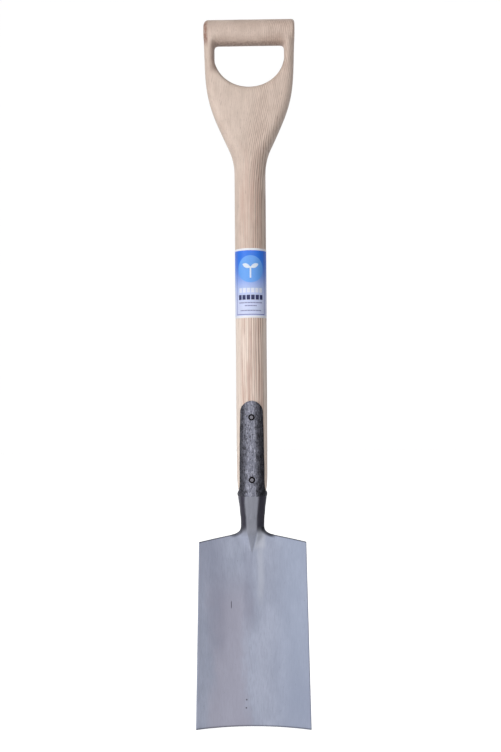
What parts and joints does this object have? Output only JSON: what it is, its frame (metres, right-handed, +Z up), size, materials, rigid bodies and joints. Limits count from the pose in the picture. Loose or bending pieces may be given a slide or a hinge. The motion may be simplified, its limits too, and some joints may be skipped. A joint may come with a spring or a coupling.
{
  "type": "garden spade",
  "caption": "Garden spade with a one-piece ash handle and D-grip, a dished forged steel blade on a socket neck, and dark riveted straps up the front and back of the shaft.",
  "frame": {"origin": "on the shaft axis, level with the corners of the cutting edge", "axes": "+Z up the shaft towards the grip, -Y towards the front: the hollow side of the blade and the label; +X to the right seen from the front"},
  "size_m": [0.152, 0.0585, 0.95],
  "materials": {
    "ash_wood": "matte",
    "ground_steel": "satin",
    "black_steel": "satin",
    "rivet_steel": "satin",
    "label_paper": "satin"
  },
  "bodies": {
    "root": {"handle": "ash_wood", "blade": "ground_steel", "front_strap": "black_steel", "back_strap": "black_steel", "upper_rivet": "rivet_steel", "lower_rivet": "rivet_steel", "label": "label_paper"}
  },
  "joints": []
}
